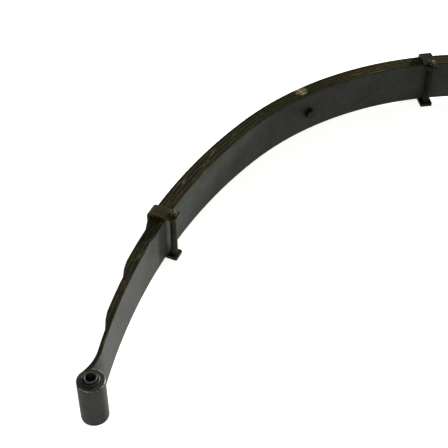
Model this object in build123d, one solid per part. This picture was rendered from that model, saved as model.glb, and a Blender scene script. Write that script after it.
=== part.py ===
from build123d import *
from math import atan2, cos, degrees, radians, sin, sqrt
import os

# Four-leaf semi-elliptic car spring, lying on its side.
# Origin: on the concave face of the main leaf, where the centre bolt goes through.
# +X runs along the leaves towards the short arm, +Y is the convex side, +Z is the leaf width.
# Every place along the spring is an arc length from the centre bolt: left is negative.

# ---------------------------------------------------------------- driving sizes, mm
leaf_width = 63.5
leaf_thickness = 5.5
left_arm = 599.0            # centre bolt to left eye centre, along the leaf
right_arm = 500.0           # centre bolt to right eye centre, along the leaf
eye_to_second_leaf = 78.0   # eye centre to the tip of the second leaf
leaf_step = 82.0            # each further leaf ends this much nearer the centre bolt
tip_taper = 24.0            # length of the thinned end of the shorter leaves
tip_thickness = 2.2
tip_corner = 12.0           # corner trimmed off the ends of the shorter leaves

crown_radius = 440.0        # free camber, radii of the main leaf's concave face
waist_radius = 763.0
arm_radius = 889.0
crown_left = 110.0          # how far the crown radius runs each side of the bolt
crown_right = 230.0
waist_left = 220.0          # how far the waist radius runs beyond the crown
waist_right = 100.0

bush_shell_diameter = 22.0  # also the bore of the rolled eyes
bush_shell_wall = 1.1
bush_shell_inset = 0.5      # shell end below the leaf edge
sleeve_bore = 12.2          # takes the M12 shackle bolt
sleeve_wall = 1.4
sleeve_stand = 4.9          # inner sleeve stands this proud of the leaf edge
rubber_stand = 2.2
rubber_lip = 0.8            # rubber lip spreads this far over the shell's end
eye_bend_radius = 60.0      # gooseneck that sets the eye on the main leaf's centre line
eye_tip_gap = 0.6           # rolled tip to the leaf it closes against

centre_bolt_diameter = 10.0
centre_head_diameter = 15.0
centre_head_height = 8.0
centre_nut_flats = 17.0
centre_nut_height = 8.0

left_clip_at = 324.0        # centre bolt to clip, along the leaf
right_clip_at = 200.0
strap_width = 18.0
strap_thickness = 4.5
strap_bend = 6.0            # outer radius of the strap's two bends
ear_reach = 14.0            # ears pass the concave face by this much
ear_corner = 2.0
clip_bolt_diameter = 6.0
clip_bolt_off = 7.0         # clip bolt axis to the concave face
clip_head_diameter = 11.0
clip_head_height = 2.5      # countersunk head, flush with the lower ear
clip_nut_flats = 10.0
clip_nut_height = 5.0
tube_wall = 1.42
rivet_diameter = 6.0
rivet_head_diameter = 11.0
rivet_head_height = 3.0
bolt_end = 3.0              # bolt stands past its nut
end_chamfer = 0.8

# ---------------------------------------------------------------- named clearances, mm
bolt_clearance = 0.25       # radial, bolts in the holes they pass through
rivet_clearance = 0.05      # radial, rivet in its hole
edge_clearance = 0.4        # leaf edges to the clip's ears
turning_clearance = 0.05    # radial, inner sleeve in its rubber
tube_clearance = 0.08       # radial, spacer tube on the clip bolt
tube_end_clearance = 0.15   # spacer tube to each ear
head_seat_clearance = 0.3   # radial, spot face round the centre bolt's head

# ---------------------------------------------------------------- derived sizes
leaf_names = ["main_leaf", "second_leaf", "third_leaf", "fourth_leaf"]
half_width = leaf_width / 2
stack = len(leaf_names) * leaf_thickness
eye_bore = bush_shell_diameter / 2
eye_outer = eye_bore + leaf_thickness
eye_middle = eye_bore + leaf_thickness / 2
# The gooseneck touches the main leaf's centre line and the rolled eye.
neck_length = sqrt(eye_middle**2 + 2 * eye_middle * eye_bend_radius)
neck_angle = degrees(atan2(eye_bend_radius, neck_length))
ear_inner = half_width + edge_clearance
ear_outer = ear_inner + strap_thickness
tube_bore = clip_bolt_diameter / 2 + tube_clearance

# Arc spans from the centre bolt outwards: (length, radius of the concave face).
spans = {
    -1: [(crown_left, crown_radius), (waist_left, waist_radius), (left_arm, arm_radius)],
    1: [(crown_right, crown_radius), (waist_right, waist_radius), (right_arm, arm_radius)],
}
span_ends = [-crown_left - waist_left, -crown_left, crown_right, crown_right + waist_right]


def station(s):
    """Point on the concave face at arc length s, and how far the leaf has turned there."""
    side = -1 if s < 0 else 1
    left, turned, x, y = abs(s), 0.0, 0.0, 0.0
    for length, radius in spans[side]:
        step = min(left, length)
        centre_x = x - radius * side * sin(turned)
        centre_y = y - radius * cos(turned)
        turned += step / radius
        x = centre_x + radius * side * sin(turned)
        y = centre_y + radius * cos(turned)
        left -= step
        if left <= 0:
            break
    return x, y, side * turned


def leaf_point(s, offset):
    """Point at arc length s, lifted from the concave face towards the convex side."""
    x, y, turned = station(s)
    return (x + offset * sin(turned), y + offset * cos(turned))


def leaf_plane(s, offset=0.0):
    """Frame on the leaf: X along it, Y out of its convex side, Z across its width."""
    x, y, turned = station(s)
    origin = (x + offset * sin(turned), y + offset * cos(turned), 0)
    return Plane(origin=origin, x_dir=(cos(turned), -sin(turned), 0), z_dir=(0, 0, 1))


def leaf_arcs(offset, s_from, s_to):
    """Tangent arcs along the leaf, parallel to the concave face."""
    low, high = min(s_from, s_to), max(s_from, s_to)
    stops = [low] + [s for s in span_ends if low < s < high] + [high]
    arcs = []
    for a, b in zip(stops, stops[1:]):
        middle = leaf_point((a + b) / 2, offset)
        arcs.append(ThreePointArc(leaf_point(a, offset), middle, leaf_point(b, offset)))
    return arcs


def turned_y(shape):
    """A shape built along Z, laid along the leaf frame's Y."""
    return Rot(-90, 0, 0) * shape


def upright(radius, z_from, z_to):
    """Cylinder along Z between two heights."""
    return Pos(0, 0, z_from) * Cylinder(radius, z_to - z_from, align=(Align.CENTER, Align.CENTER, Align.MIN))


def hexagon_nut(flats, height, bore):
    """Nut standing on Z = 0, corners chamfered top and bottom."""
    corner = flats / sqrt(3)
    body = extrude(RegularPolygon(corner, 6), height)
    turned = upright(corner, 0, height)
    turned = chamfer(turned.edges().filter_by(GeomType.CIRCLE), (corner - flats / 2) * 0.6)
    return (body & turned) - upright(bore, 0, height)


def eye(mirrored):
    """Rolled eye about its own centre, with the gooseneck that joins it to the leaf."""
    neck_mid = Pos(neck_length, eye_bend_radius)
    half = leaf_thickness / 2
    neck = sector(eye_bend_radius - half, eye_bend_radius + half, neck_angle - 180, -90)
    roll = sector(eye_bore, eye_outer, neck_angle, 300)
    tip = sector(eye_bore, eye_outer, 299, 360 + neck_angle)
    tip -= neck_mid * Circle(eye_bend_radius + half + eye_tip_gap)
    outline = (neck_mid * neck) + roll + tip
    solid = extrude(outline, half_width, both=True)
    return solid.mirror(Plane.YZ) if mirrored else solid


def sector(inner, outer, start, end):
    """Part of a ring between two angles, in degrees."""
    def at(radius, angle):
        return (radius * cos(radians(angle)), radius * sin(radians(angle)))
    middle = (start + end) / 2
    edges = [
        ThreePointArc(at(inner, start), at(inner, middle), at(inner, end)),
        Line(at(inner, end), at(outer, end)),
        ThreePointArc(at(outer, end), at(outer, middle), at(outer, start)),
        Line(at(outer, start), at(inner, start)),
    ]
    return make_face(edges)


def eye_plane(side):
    """Frame at an eye's centre: X along the leaf, Y to the convex side."""
    arm = right_arm if side > 0 else left_arm
    neck = leaf_plane(side * (arm - neck_length), leaf_thickness / 2)
    return neck * Pos(side * neck_length, 0, 0)


def main_leaf():
    """Longest leaf, rolled into an eye at each end."""
    s_left, s_right = -(left_arm - neck_length), right_arm - neck_length
    ends = [Line(leaf_point(s, 0), leaf_point(s, leaf_thickness)) for s in (s_left, s_right)]
    outline = make_face(leaf_arcs(0, s_left, s_right) + ends + leaf_arcs(leaf_thickness, s_left, s_right))
    body = extrude(outline, half_width, both=True)
    for side in (-1, 1):
        body += eye_plane(side) * eye(mirrored=side > 0)
    head = upright(centre_head_diameter / 2 + head_seat_clearance, 0, centre_head_height)
    return body - Rot(90, 0, 0) * head - centre_hole()


def leaf_ends(level):
    """Arc lengths of a shorter leaf's two tips."""
    back = eye_to_second_leaf + (level - 1) * leaf_step
    return -(left_arm - back), right_arm - back


def shorter_leaf(level):
    """A leaf without eyes: tips thinned on the convex side, corners trimmed."""
    low, high = level * leaf_thickness, (level + 1) * leaf_thickness
    s_left, s_right = leaf_ends(level)
    edges = leaf_arcs(low, s_left, s_right) + leaf_arcs(high, s_left + tip_taper, s_right - tip_taper)
    for s, thick in ((s_left, s_left + tip_taper), (s_right, s_right - tip_taper)):
        toe = leaf_point(s, low + tip_thickness)
        edges += [Line(leaf_point(s, low), toe), Line(toe, leaf_point(thick, high))]
    body = extrude(make_face(edges), half_width, both=True)
    for s in (s_left, s_right):
        body -= leaf_plane(s, low) * trimmed_corners()
    return body - centre_hole()


def trimmed_corners():
    """The four triangles, two for each direction, that square up a trimmed leaf end."""
    triangle = make_face(Polyline(
        (-tip_corner, half_width), (0, half_width - tip_corner), (tip_corner, half_width), close=True))
    blade = Rot(90, 0, 0) * extrude(triangle, 2 * leaf_thickness, both=True)
    return blade + blade.mirror(Plane.XY)


def centre_hole():
    """Hole for the centre bolt, right through the pack."""
    return Rot(90, 0, 0) * upright(centre_bolt_diameter / 2 + bolt_clearance, -2 * stack, stack)


def centre_bolt():
    """Round-headed bolt: the head stands on the concave face and locates the spring."""
    end = stack + centre_nut_height + bolt_end
    head = upright(centre_head_diameter / 2, -centre_head_height, 0)
    head = chamfer(head.edges().group_by(Axis.Z)[0], end_chamfer)
    shank = upright(centre_bolt_diameter / 2, 0, end)
    shank = chamfer(shank.edges().group_by(Axis.Z)[-1], end_chamfer)
    return turned_y(head + shank)


def centre_nut():
    """Hexagon nut on the convex side of the pack."""
    nut = hexagon_nut(centre_nut_flats, centre_nut_height, centre_bolt_diameter / 2)
    return Pos(0, stack, 0) * turned_y(nut)


def bush(side):
    """Steel shell, rubber and inner sleeve of one eye."""
    place = eye_plane(side)
    shell_end = half_width - bush_shell_inset
    shell_inner = eye_bore - bush_shell_wall
    sleeve_outer = sleeve_bore / 2 + sleeve_wall
    rubber_end = half_width + rubber_stand
    sleeve_end = half_width + sleeve_stand
    shell = upright(eye_bore, -shell_end, shell_end) - upright(shell_inner, -shell_end, shell_end)
    rubber = upright(shell_inner, -rubber_end, rubber_end)
    lip = upright(shell_inner + rubber_lip, shell_end, rubber_end)
    lip = chamfer(lip.edges().group_by(Axis.Z)[-1], rubber_lip)
    rubber += lip + lip.mirror(Plane.XY)
    rubber -= upright(sleeve_outer + turning_clearance, -rubber_end, rubber_end)
    sleeve = upright(sleeve_outer, -sleeve_end, sleeve_end) - upright(sleeve_bore / 2, -sleeve_end, sleeve_end)
    return {"bush_shell": place * shell, "bush_rubber": place * rubber, "bush_sleeve": place * sleeve}


def clip_strap():
    """U-shaped strap round the pack, in the leaf's frame: back on the convex side."""
    back = stack + strap_thickness
    outer = Pos((back - ear_reach) / 2, 0) * Rectangle(back + ear_reach, 2 * ear_outer)
    outer = fillet(outer.vertices().group_by(Axis.X)[-1], strap_bend)
    inner = Pos((stack - ear_reach) / 2, 0) * Rectangle(stack + ear_reach, 2 * ear_inner)
    inner = fillet(inner.vertices().group_by(Axis.X)[-1], edge_clearance)
    section = outer - inner
    strap = extrude(Plane.YZ * section, strap_width / 2, both=True)
    ear_edges = strap.edges().filter_by(Axis.Z).group_by(Axis.Y)[0]
    strap = fillet(ear_edges, ear_corner)
    bolt_hole = upright(clip_bolt_diameter / 2 + bolt_clearance, -2 * ear_outer, 2 * ear_outer)
    strap -= Pos(0, -clip_bolt_off, 0) * (bolt_hole + clip_head())
    return strap - rivet_hole()


def clip_head():
    """Countersunk head of the clip bolt, flush with the outside of the lower ear."""
    wide, narrow = clip_head_diameter / 2, clip_bolt_diameter / 2
    cone = Cone(wide, narrow, clip_head_height, align=(Align.CENTER, Align.CENTER, Align.MIN))
    return Pos(0, 0, -ear_outer) * cone


def rivet_hole():
    """Hole through the strap's back and the fourth leaf, in the leaf's frame."""
    hole = upright(rivet_diameter / 2 + rivet_clearance, stack - leaf_thickness, stack + strap_thickness)
    return turned_y(hole)


def clip_rivet():
    """Rivet that holds the strap to the fourth leaf: flush inside, domed outside."""
    top = stack + strap_thickness
    shank = upright(rivet_diameter / 2, stack - leaf_thickness, top)
    reach = rivet_head_diameter / 2
    ball = (reach**2 + rivet_head_height**2) / (2 * rivet_head_height)
    dome = Pos(0, 0, top + rivet_head_height - ball) * Sphere(ball)
    dome &= upright(reach, top, top + rivet_head_height)
    return turned_y(shank + dome)


def clip_bolt():
    """Long countersunk bolt across the open side of the clip."""
    end = ear_outer + clip_nut_height + bolt_end
    shank = upright(clip_bolt_diameter / 2, -ear_outer, end)
    shank = chamfer(shank.edges().group_by(Axis.Z)[-1], end_chamfer)
    return shank + clip_head()


def clip_tube():
    """Spacer tube on the clip bolt, between the ears."""
    end = ear_inner - tube_end_clearance
    return upright(tube_bore + tube_wall, -end, end) - upright(tube_bore, -end, end)


def clip(s):
    """All pieces of one clip at arc length s."""
    place = leaf_plane(s)
    at_bolt = place * Pos(0, -clip_bolt_off, 0)
    nut = hexagon_nut(clip_nut_flats, clip_nut_height, clip_bolt_diameter / 2)
    return {
        "clip_strap": place * clip_strap(),
        "clip_rivet": place * clip_rivet(),
        "clip_bolt": at_bolt * clip_bolt(),
        "clip_tube": at_bolt * clip_tube(),
        "clip_nut": at_bolt * Pos(0, 0, ear_outer) * nut,
    }


def fourth_leaf():
    """Shortest leaf, with the two rivet holes of the clips."""
    leaf = shorter_leaf(3)
    for s in (-left_clip_at, right_clip_at):
        leaf -= leaf_plane(s) * rivet_hole()
    return leaf


nodes = {
    "main_leaf": main_leaf(),
    "second_leaf": shorter_leaf(1),
    "third_leaf": shorter_leaf(2),
    "fourth_leaf": fourth_leaf(),
    "centre_bolt": centre_bolt(),
    "centre_bolt_nut": centre_nut(),
}
for side, name, clip_at in ((-1, "left", -left_clip_at), (1, "right", right_clip_at)):
    for piece, shape in (bush(side) | clip(clip_at)).items():
        nodes[f"{name}_{piece}"] = shape

os.makedirs("parts", exist_ok=True)
for name, shape in nodes.items():
    export_step(shape, f"parts/{name}.step")
    print(f"{name}: {shape.volume / 1000:.2f} cm3, {len(shape.solids())} solid")
for side, name in ((-1, "left"), (1, "right")):
    eye_centre = eye_plane(side).position
    print(f"{name} eye centre: {eye_centre.X:.3f}, {eye_centre.Y:.3f}, {eye_centre.Z:.3f}")
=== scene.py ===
# %% [markdown]
# # A four-leaf car spring
# A pack of bent steel leaves lies on its side. The longest leaf is rolled into an eye at each end,
# a rubber bush sits in each eye, two clips hold the leaves in line and one bolt ties their middle.
# The measured model arrives as a fixed frame. Its pieces could all be kept as they are, but they have
# razor-sharp edges and no wear, so each is made again here with the same sizes and softer edges.

# %% Load the measured spring
import math

import bmesh
import bpy
from mathutils import Matrix, Vector


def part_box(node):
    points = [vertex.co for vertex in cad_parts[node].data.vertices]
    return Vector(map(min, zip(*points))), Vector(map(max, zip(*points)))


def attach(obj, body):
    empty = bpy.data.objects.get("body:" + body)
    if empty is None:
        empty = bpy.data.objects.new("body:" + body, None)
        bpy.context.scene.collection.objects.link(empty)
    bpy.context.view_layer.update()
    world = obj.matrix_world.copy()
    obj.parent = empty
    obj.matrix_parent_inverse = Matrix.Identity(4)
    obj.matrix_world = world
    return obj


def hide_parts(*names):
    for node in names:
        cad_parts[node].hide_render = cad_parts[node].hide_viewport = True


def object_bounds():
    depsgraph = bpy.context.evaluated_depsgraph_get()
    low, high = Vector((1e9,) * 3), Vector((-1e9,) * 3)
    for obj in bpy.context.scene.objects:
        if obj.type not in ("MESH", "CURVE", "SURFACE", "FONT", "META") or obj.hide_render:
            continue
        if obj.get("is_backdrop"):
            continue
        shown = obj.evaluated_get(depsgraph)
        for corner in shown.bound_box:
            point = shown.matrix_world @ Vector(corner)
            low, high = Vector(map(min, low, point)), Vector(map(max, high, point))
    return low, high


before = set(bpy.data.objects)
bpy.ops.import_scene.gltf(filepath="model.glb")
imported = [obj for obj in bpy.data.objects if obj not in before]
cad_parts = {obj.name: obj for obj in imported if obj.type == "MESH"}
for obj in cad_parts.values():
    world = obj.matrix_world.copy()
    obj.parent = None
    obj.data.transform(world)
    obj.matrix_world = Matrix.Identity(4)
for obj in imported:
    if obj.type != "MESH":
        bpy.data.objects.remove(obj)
cad_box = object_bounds()
MM = 0.001
print("measured pieces:", len(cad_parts))
print("overall mm:", [round((high - low) / MM, 1) for low, high in zip(*cad_box)])

# %% [markdown]
# ## Camera
# A long lens from above the left end shows the whole sweep of the leaves. A wide lens close by would
# take in as much, but it would bulge the near eye, so the camera stands well back and looks down steeply.

# %% Place the camera
camera = bpy.data.objects.new("camera", bpy.data.cameras.new("camera"))
bpy.context.scene.collection.objects.link(camera)
camera.location = (-0.8369, -0.9680, 1.0023)
camera.rotation_euler = (math.radians(46), 0, math.radians(-35.3))
camera.data.lens = 88.3
bpy.context.scene.camera = camera
print("camera height m:", round(camera.location.z, 3))

# %% [markdown]
# ## Three helpers for node trees
# Materials, the world and Geometry Nodes are all trees of nodes. Each could be wired by hand in an editor.
# In a script three small helpers keep the wiring short: one puts either a plain value or another node's
# output into a socket, one adds a node and feeds its first sockets, and one does a sum.

# %% Wire nodes
def feed(tree, socket, source):
    """Put a plain value or another node's output into a socket."""
    if isinstance(source, bpy.types.NodeSocket):
        tree.links.new(source, socket)
    else:
        socket.default_value = source


def add_node(tree, kind, *sources, **options):
    """Add a node, set its options and feed its first sockets."""
    made = tree.nodes.new(kind)
    for option, value in options.items():
        setattr(made, option, value)
    for socket, source in zip(made.inputs, sources):
        feed(tree, socket, source)
    return made


def reckon(tree, operation, *sources, clamp=False):
    """One Math node, and what comes out of it."""
    return add_node(tree, "ShaderNodeMath", *sources, operation=operation, use_clamp=clamp).outputs[0]


print("helpers ready: feed, add_node, reckon")

# %% [markdown]
# ## Floor and light
# A studio table is a big pale sheet with soft light all round. A single lamp would cast a hard shadow, so
# the floor glows by itself, which keeps the shadow under the spring faint, and a weak warm sky fills in. The
# long shine on the black faces comes from one small strong panel, low and far off to the right. A faint cool
# panel lifts the near eye, and a broad low one lights the convex side from behind.

# %% Lay the floor and light it
ground = cad_box[0].z - 0.1 * MM
floor_mesh = bpy.data.meshes.new("floor")
floor_mesh.from_pydata([(x, y, ground) for x, y in ((-4, -4), (4, -4), (4, 4), (-4, 4))], [], [(0, 1, 2, 3)])
floor = bpy.data.objects.new("floor", floor_mesh)
bpy.context.scene.collection.objects.link(floor)
floor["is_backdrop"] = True

floor_paper = bpy.data.materials.new("floor_paper")
floor_paper.use_nodes = True
paper = floor_paper.node_tree.nodes["Principled BSDF"]
paper.inputs["Base Color"].default_value = (0.85, 0.85, 0.84, 1)
paper.inputs["Roughness"].default_value = 0.9
paper.inputs["Emission Color"].default_value = (1, 1, 0.99, 1)
paper.inputs["Emission Strength"].default_value = 0.84
floor_mesh.materials.append(floor_paper)

world = bpy.data.worlds.new("studio")
world.use_nodes = True
world.node_tree.nodes["Background"].inputs["Color"].default_value = (1.0, 0.98, 0.93, 1)
world.node_tree.nodes["Background"].inputs["Strength"].default_value = 0.25
bpy.context.scene.world = world
bpy.context.scene.view_settings.view_transform = "Standard"


def light_panel(name, place, aim, size, power, tint=(1, 1, 1)):
    """A square lamp that faces a point."""
    lamp = bpy.data.lights.new(name, "AREA")
    lamp.size, lamp.energy, lamp.color = size, power, tint
    panel = bpy.data.objects.new(name, lamp)
    panel.location = place
    panel.rotation_euler = (Vector(aim) - Vector(place)).to_track_quat("-Z", "Y").to_euler()
    bpy.context.scene.collection.objects.link(panel)


light_panel("right_panel", (3.2, 0.55, 0.5), (-0.3, -0.1, 0), size=0.35, power=400, tint=(0.95, 0.98, 1))
light_panel("eye_panel", (-1.0, -0.65, 0.3), (-0.48, -0.15, 0), size=0.3, power=1.0, tint=(0.62, 1, 1))
light_panel("back_panel", (0.0, 1.7, 0.3), (0, 0.1, 0), size=1.0, power=16)
print("floor at z mm:", round(ground / MM, 2))

# %% [markdown]
# ## The line of the spring
# A spring leaf is rolled flat and then bent over a former, so its side view is a few arcs that run into
# each other: a tight crown over the bolt, a waist, and an easy arm out to each eye. With the sizes below,
# one number says where anything on the spring is: its distance along the leaf from the bolt.

# %% Sizes of the leaves
WIDTH, THICKNESS, LEAVES = 63.5 * MM, 5.5 * MM, 4
HALF = WIDTH / 2
STACK = LEAVES * THICKNESS
CROWN = {"Crown Left": 110 * MM, "Crown Right": 230 * MM, "Crown Radius": 440 * MM}
WAIST = {"Waist Left": 220 * MM, "Waist Right": 100 * MM, "Waist Radius": 763 * MM}
ARM_RADIUS, NECK_RADIUS, EYE_BORE = 889 * MM, 60 * MM, 11 * MM
EYE_AT = {-1: 599 * MM, 1: 500 * MM}  # how far along each side its eye is, left is -1 and right is 1
ROLL_LIMIT = 80 * MM  # more than any roll needs, because the last arc takes all that is left of the bar

eye_middle = EYE_BORE + THICKNESS / 2
neck_run = math.sqrt(eye_middle**2 + 2 * eye_middle * NECK_RADIUS)
neck_turn = math.pi / 2 - math.atan2(NECK_RADIUS, neck_run)
neck_face = NECK_RADIUS + THICKNESS / 2
neck_length = neck_turn * neck_face
arm_end = {side: at - neck_run for side, at in EYE_AT.items()}
ARM = {
    "Arm Left": arm_end[-1] - CROWN["Crown Left"] - WAIST["Waist Left"],
    "Arm Right": arm_end[1] - CROWN["Crown Right"] - WAIST["Waist Right"],
    "Arm Radius": ARM_RADIUS,
}
eye_start = {side: end + neck_length for side, end in arm_end.items()}
NECK = {"Neck Left": neck_length, "Neck Right": neck_length, "Neck Radius": -neck_face}
EYE = {"Eye Left": ROLL_LIMIT, "Eye Right": ROLL_LIMIT, "Eye Radius": EYE_BORE}
BENDS = {**CROWN, **WAIST, **ARM, **NECK, **EYE}
SPANS = ("Crown", "Waist", "Arm", "Neck", "Eye")
print("neck starts at mm:", {side: round(at / MM, 1) for side, at in arm_end.items()})

# %% Find a place along the leaf
def leaf_frame(along):
    """Frame on the main leaf: X along it, Y out of its convex side, Z across its width."""
    side = -1 if along < 0 else 1
    remaining, turned, x, y = abs(along), 0.0, 0.0, 0.0
    for span in SPANS:
        radius = BENDS[f"{span} Radius"]
        step = min(remaining, BENDS[f"{span} Left" if side < 0 else f"{span} Right"])
        x += radius * (math.sin(turned + step / radius) - math.sin(turned))
        y += radius * (math.cos(turned + step / radius) - math.cos(turned))
        turned += step / radius
        remaining -= step
    cosine, sine = math.cos(turned), math.sin(turned) * side
    tilt = Matrix(((cosine, sine, 0, 0), (-sine, cosine, 0, 0), (0, 0, 1, 0), (0, 0, 0, 1)))
    return Matrix.Translation((side * x, y, 0)) @ tilt


print("left neck at mm:", [round(v / MM, 1) for v in leaf_frame(-arm_end[-1]).translation])

# %% [markdown]
# ## Bending a flat leaf
# The leaves could be drawn already bent, but a smith forges a straight bar first and bends it after, and
# doing the same keeps each step simple. A Geometry Nodes tree does the bending. It takes each point's
# distance along the straight bar, walks it round the arcs one after another with sines and cosines, and
# sets the point down there. Before it bends anything it writes the straight position into an attribute
# called blank, so that the paint can still run along the bar after the bar is round.

# %% Build the bending tree
def geometry_tree(name, sizes):
    """An empty Geometry Nodes tree with a geometry input, named sizes and a finish."""
    tree = bpy.data.node_groups.new(name, "GeometryNodeTree")
    tree.interface.new_socket("Geometry", in_out="INPUT", socket_type="NodeSocketGeometry")
    for size in sizes:
        tree.interface.new_socket(size, in_out="INPUT", socket_type="NodeSocketFloat")
    tree.interface.new_socket("Finish", in_out="INPUT", socket_type="NodeSocketMaterial")
    tree.interface.new_socket("Geometry", in_out="OUTPUT", socket_type="NodeSocketGeometry")
    return tree, add_node(tree, "NodeGroupInput").outputs


def close_tree(tree, shape, finish):
    """End a tree the way the export needs: real geometry with a material."""
    real = add_node(tree, "GeometryNodeRealizeInstances", shape)
    painted = add_node(tree, "GeometryNodeSetMaterial", real.outputs[0])
    feed(tree, painted.inputs["Material"], finish)
    add_node(tree, "NodeGroupOutput", painted.outputs[0])


def bending_tree():
    """Bends a straight bar round five arcs each way from its middle. Lift raises it on the leaves below."""
    tree, given = geometry_tree("Bend Leaf", ["Lift", *BENDS])
    straight = add_node(tree, "GeometryNodeInputPosition").outputs[0]
    kept = add_node(tree, "GeometryNodeStoreNamedAttribute", given["Geometry"], data_type="FLOAT_VECTOR")
    feed(tree, kept.inputs["Name"], "blank")
    feed(tree, kept.inputs["Value"], straight)

    along, depth, across = add_node(tree, "ShaderNodeSeparateXYZ", straight).outputs
    depth = reckon(tree, "ADD", depth, given["Lift"])
    distance = reckon(tree, "ABSOLUTE", along)
    is_right = reckon(tree, "GREATER_THAN", along, 0.0)
    turned, x, y, start, sine, cosine = 0.0, 0.0, 0.0, 0.0, 0.0, 1.0
    for span in SPANS:
        radius = given[f"{span} Radius"]
        longer = reckon(tree, "SUBTRACT", given[f"{span} Right"], given[f"{span} Left"])
        length = reckon(tree, "MULTIPLY_ADD", is_right, longer, given[f"{span} Left"])
        step = reckon(tree, "MINIMUM", reckon(tree, "SUBTRACT", distance, start), length)
        step = reckon(tree, "MAXIMUM", step, 0.0)
        turned = reckon(tree, "ADD", turned, reckon(tree, "DIVIDE", step, radius))
        was_sine, was_cosine = sine, cosine
        sine, cosine = reckon(tree, "SINE", turned), reckon(tree, "COSINE", turned)
        x = reckon(tree, "MULTIPLY_ADD", radius, reckon(tree, "SUBTRACT", sine, was_sine), x)
        y = reckon(tree, "MULTIPLY_ADD", radius, reckon(tree, "SUBTRACT", cosine, was_cosine), y)
        start = reckon(tree, "ADD", start, length)
    x = reckon(tree, "MULTIPLY", reckon(tree, "MULTIPLY_ADD", depth, sine, x), reckon(tree, "SIGN", along))
    y = reckon(tree, "MULTIPLY_ADD", depth, cosine, y)
    moved = add_node(tree, "GeometryNodeSetPosition", kept.outputs[0])
    feed(tree, moved.inputs["Position"], add_node(tree, "ShaderNodeCombineXYZ", x, y, across).outputs[0])
    close_tree(tree, moved.outputs[0], given["Finish"])
    return tree


bend_leaf = bending_tree()
print("nodes in the bending tree:", len(bend_leaf.nodes))

# %% Run a tree and keep the plain mesh
def new_object(name, bm):
    """Turn bmesh work into an object with soft shading."""
    mesh = bpy.data.meshes.new(name)
    bm.to_mesh(mesh)
    bm.free()
    mesh.shade_smooth()
    mesh.set_sharp_from_angle(angle=math.radians(35))
    made = bpy.data.objects.new(name, mesh)
    bpy.context.scene.collection.objects.link(made)
    return made


def plain_mesh(source):
    """Swap an object's modifiers for the mesh that they make."""
    depsgraph = bpy.context.evaluated_depsgraph_get()
    made = bpy.data.meshes.new_from_object(
        source.evaluated_get(depsgraph), preserve_all_data_layers=True, depsgraph=depsgraph)
    source.modifiers.clear()
    source.data = made
    return source


def run_tree(piece, tree, values):
    """Put a piece through a Geometry Nodes tree, its inputs set by socket identifier."""
    modifier = piece.modifiers.new(tree.name, "NODES")
    modifier.node_group = tree
    for item in tree.interface.items_tree:
        if item.in_out == "INPUT" and item.name in values:
            modifier[item.identifier] = values[item.name]
    return plain_mesh(piece)


print("ready to bake:", bend_leaf.name)

# %% [markdown]
# ## Shared effects for the finishes
# The leaves, clips, bolts and bushes all wear the same old dark paint, dulled by dust and touched by rust.
# The effects that they share are shader groups: mottling that comes and goes in patches, streaks that run
# along a bar, and paint rubbed thin on corners. A group only puts out masks and heights. The shader
# itself stays in each material, which places the group with its own sizes.

# %% Build the shader groups
def shader_group(name, inputs, outputs):
    """An empty shader group with named sockets."""
    tree = bpy.data.node_groups.new(name, "ShaderNodeTree")
    for label, kind, value in inputs:
        socket = tree.interface.new_socket(label, in_out="INPUT", socket_type=f"NodeSocket{kind}")
        if value is not None:
            socket.default_value = value
    for label in outputs:
        tree.interface.new_socket(label, in_out="OUTPUT", socket_type="NodeSocketFloat")
    return tree, add_node(tree, "NodeGroupInput").outputs, add_node(tree, "NodeGroupOutput").inputs


def ramp(tree, value, low, high):
    """A soft step from 0 at low to 1 at high."""
    made = add_node(tree, "ShaderNodeMapRange", interpolation_type="SMOOTHSTEP")
    feed(tree, made.inputs["Value"], value)
    feed(tree, made.inputs["From Min"], low)
    feed(tree, made.inputs["From Max"], high)
    return made.outputs[0]


def noise(tree, vector, scale, detail, roughness):
    """A Noise Texture's value."""
    made = add_node(tree, "ShaderNodeTexNoise")
    for label, source in (("Vector", vector), ("Scale", scale), ("Detail", detail), ("Roughness", roughness)):
        feed(tree, made.inputs[label], source)
    return made.outputs["Fac"]


def mottle_group():
    """Patches with soft or hard borders, and the fine grain inside them."""
    tree, given, out = shader_group(
        "Mottle", [("Vector", "Vector", None), ("Scale", "Float", 40.0), ("Cover", "Float", 0.5),
                   ("Softness", "Float", 0.1)], ["Patches", "Grain", "Height"])
    broad = noise(tree, given["Vector"], given["Scale"], detail=5.0, roughness=0.62)
    finer = reckon(tree, "MULTIPLY", given["Scale"], 14.0)
    grain = noise(tree, given["Vector"], finer, detail=3.0, roughness=0.7)
    edge = reckon(tree, "SUBTRACT", 1.0, given["Cover"])
    low = reckon(tree, "SUBTRACT", edge, given["Softness"])
    feed(tree, out["Patches"], ramp(tree, broad, low, reckon(tree, "ADD", edge, given["Softness"])))
    feed(tree, out["Grain"], grain)
    feed(tree, out["Height"], reckon(tree, "MULTIPLY_ADD", grain, 0.35, broad))
    return tree


def streak_group():
    """Scratches and stains drawn out along X, as many times longer than wide as Length says."""
    tree, given, out = shader_group(
        "Streaks", [("Vector", "Vector", None), ("Fineness", "Float", 400.0), ("Length", "Float", 20.0),
                    ("Cover", "Float", 0.5)], ["Streaks"])
    slow = reckon(tree, "DIVIDE", given["Fineness"], given["Length"])
    spread = add_node(tree, "ShaderNodeCombineXYZ", slow, given["Fineness"], given["Fineness"])
    drawn = add_node(tree, "ShaderNodeVectorMath", given["Vector"], spread.outputs[0], operation="MULTIPLY")
    lines = noise(tree, drawn.outputs[0], 1.0, detail=4.0, roughness=0.6)
    edge, softness = reckon(tree, "SUBTRACT", 1.0, given["Cover"]), 0.12
    feed(tree, out["Streaks"], ramp(tree, lines, edge, reckon(tree, "ADD", edge, softness)))
    return tree


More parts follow.
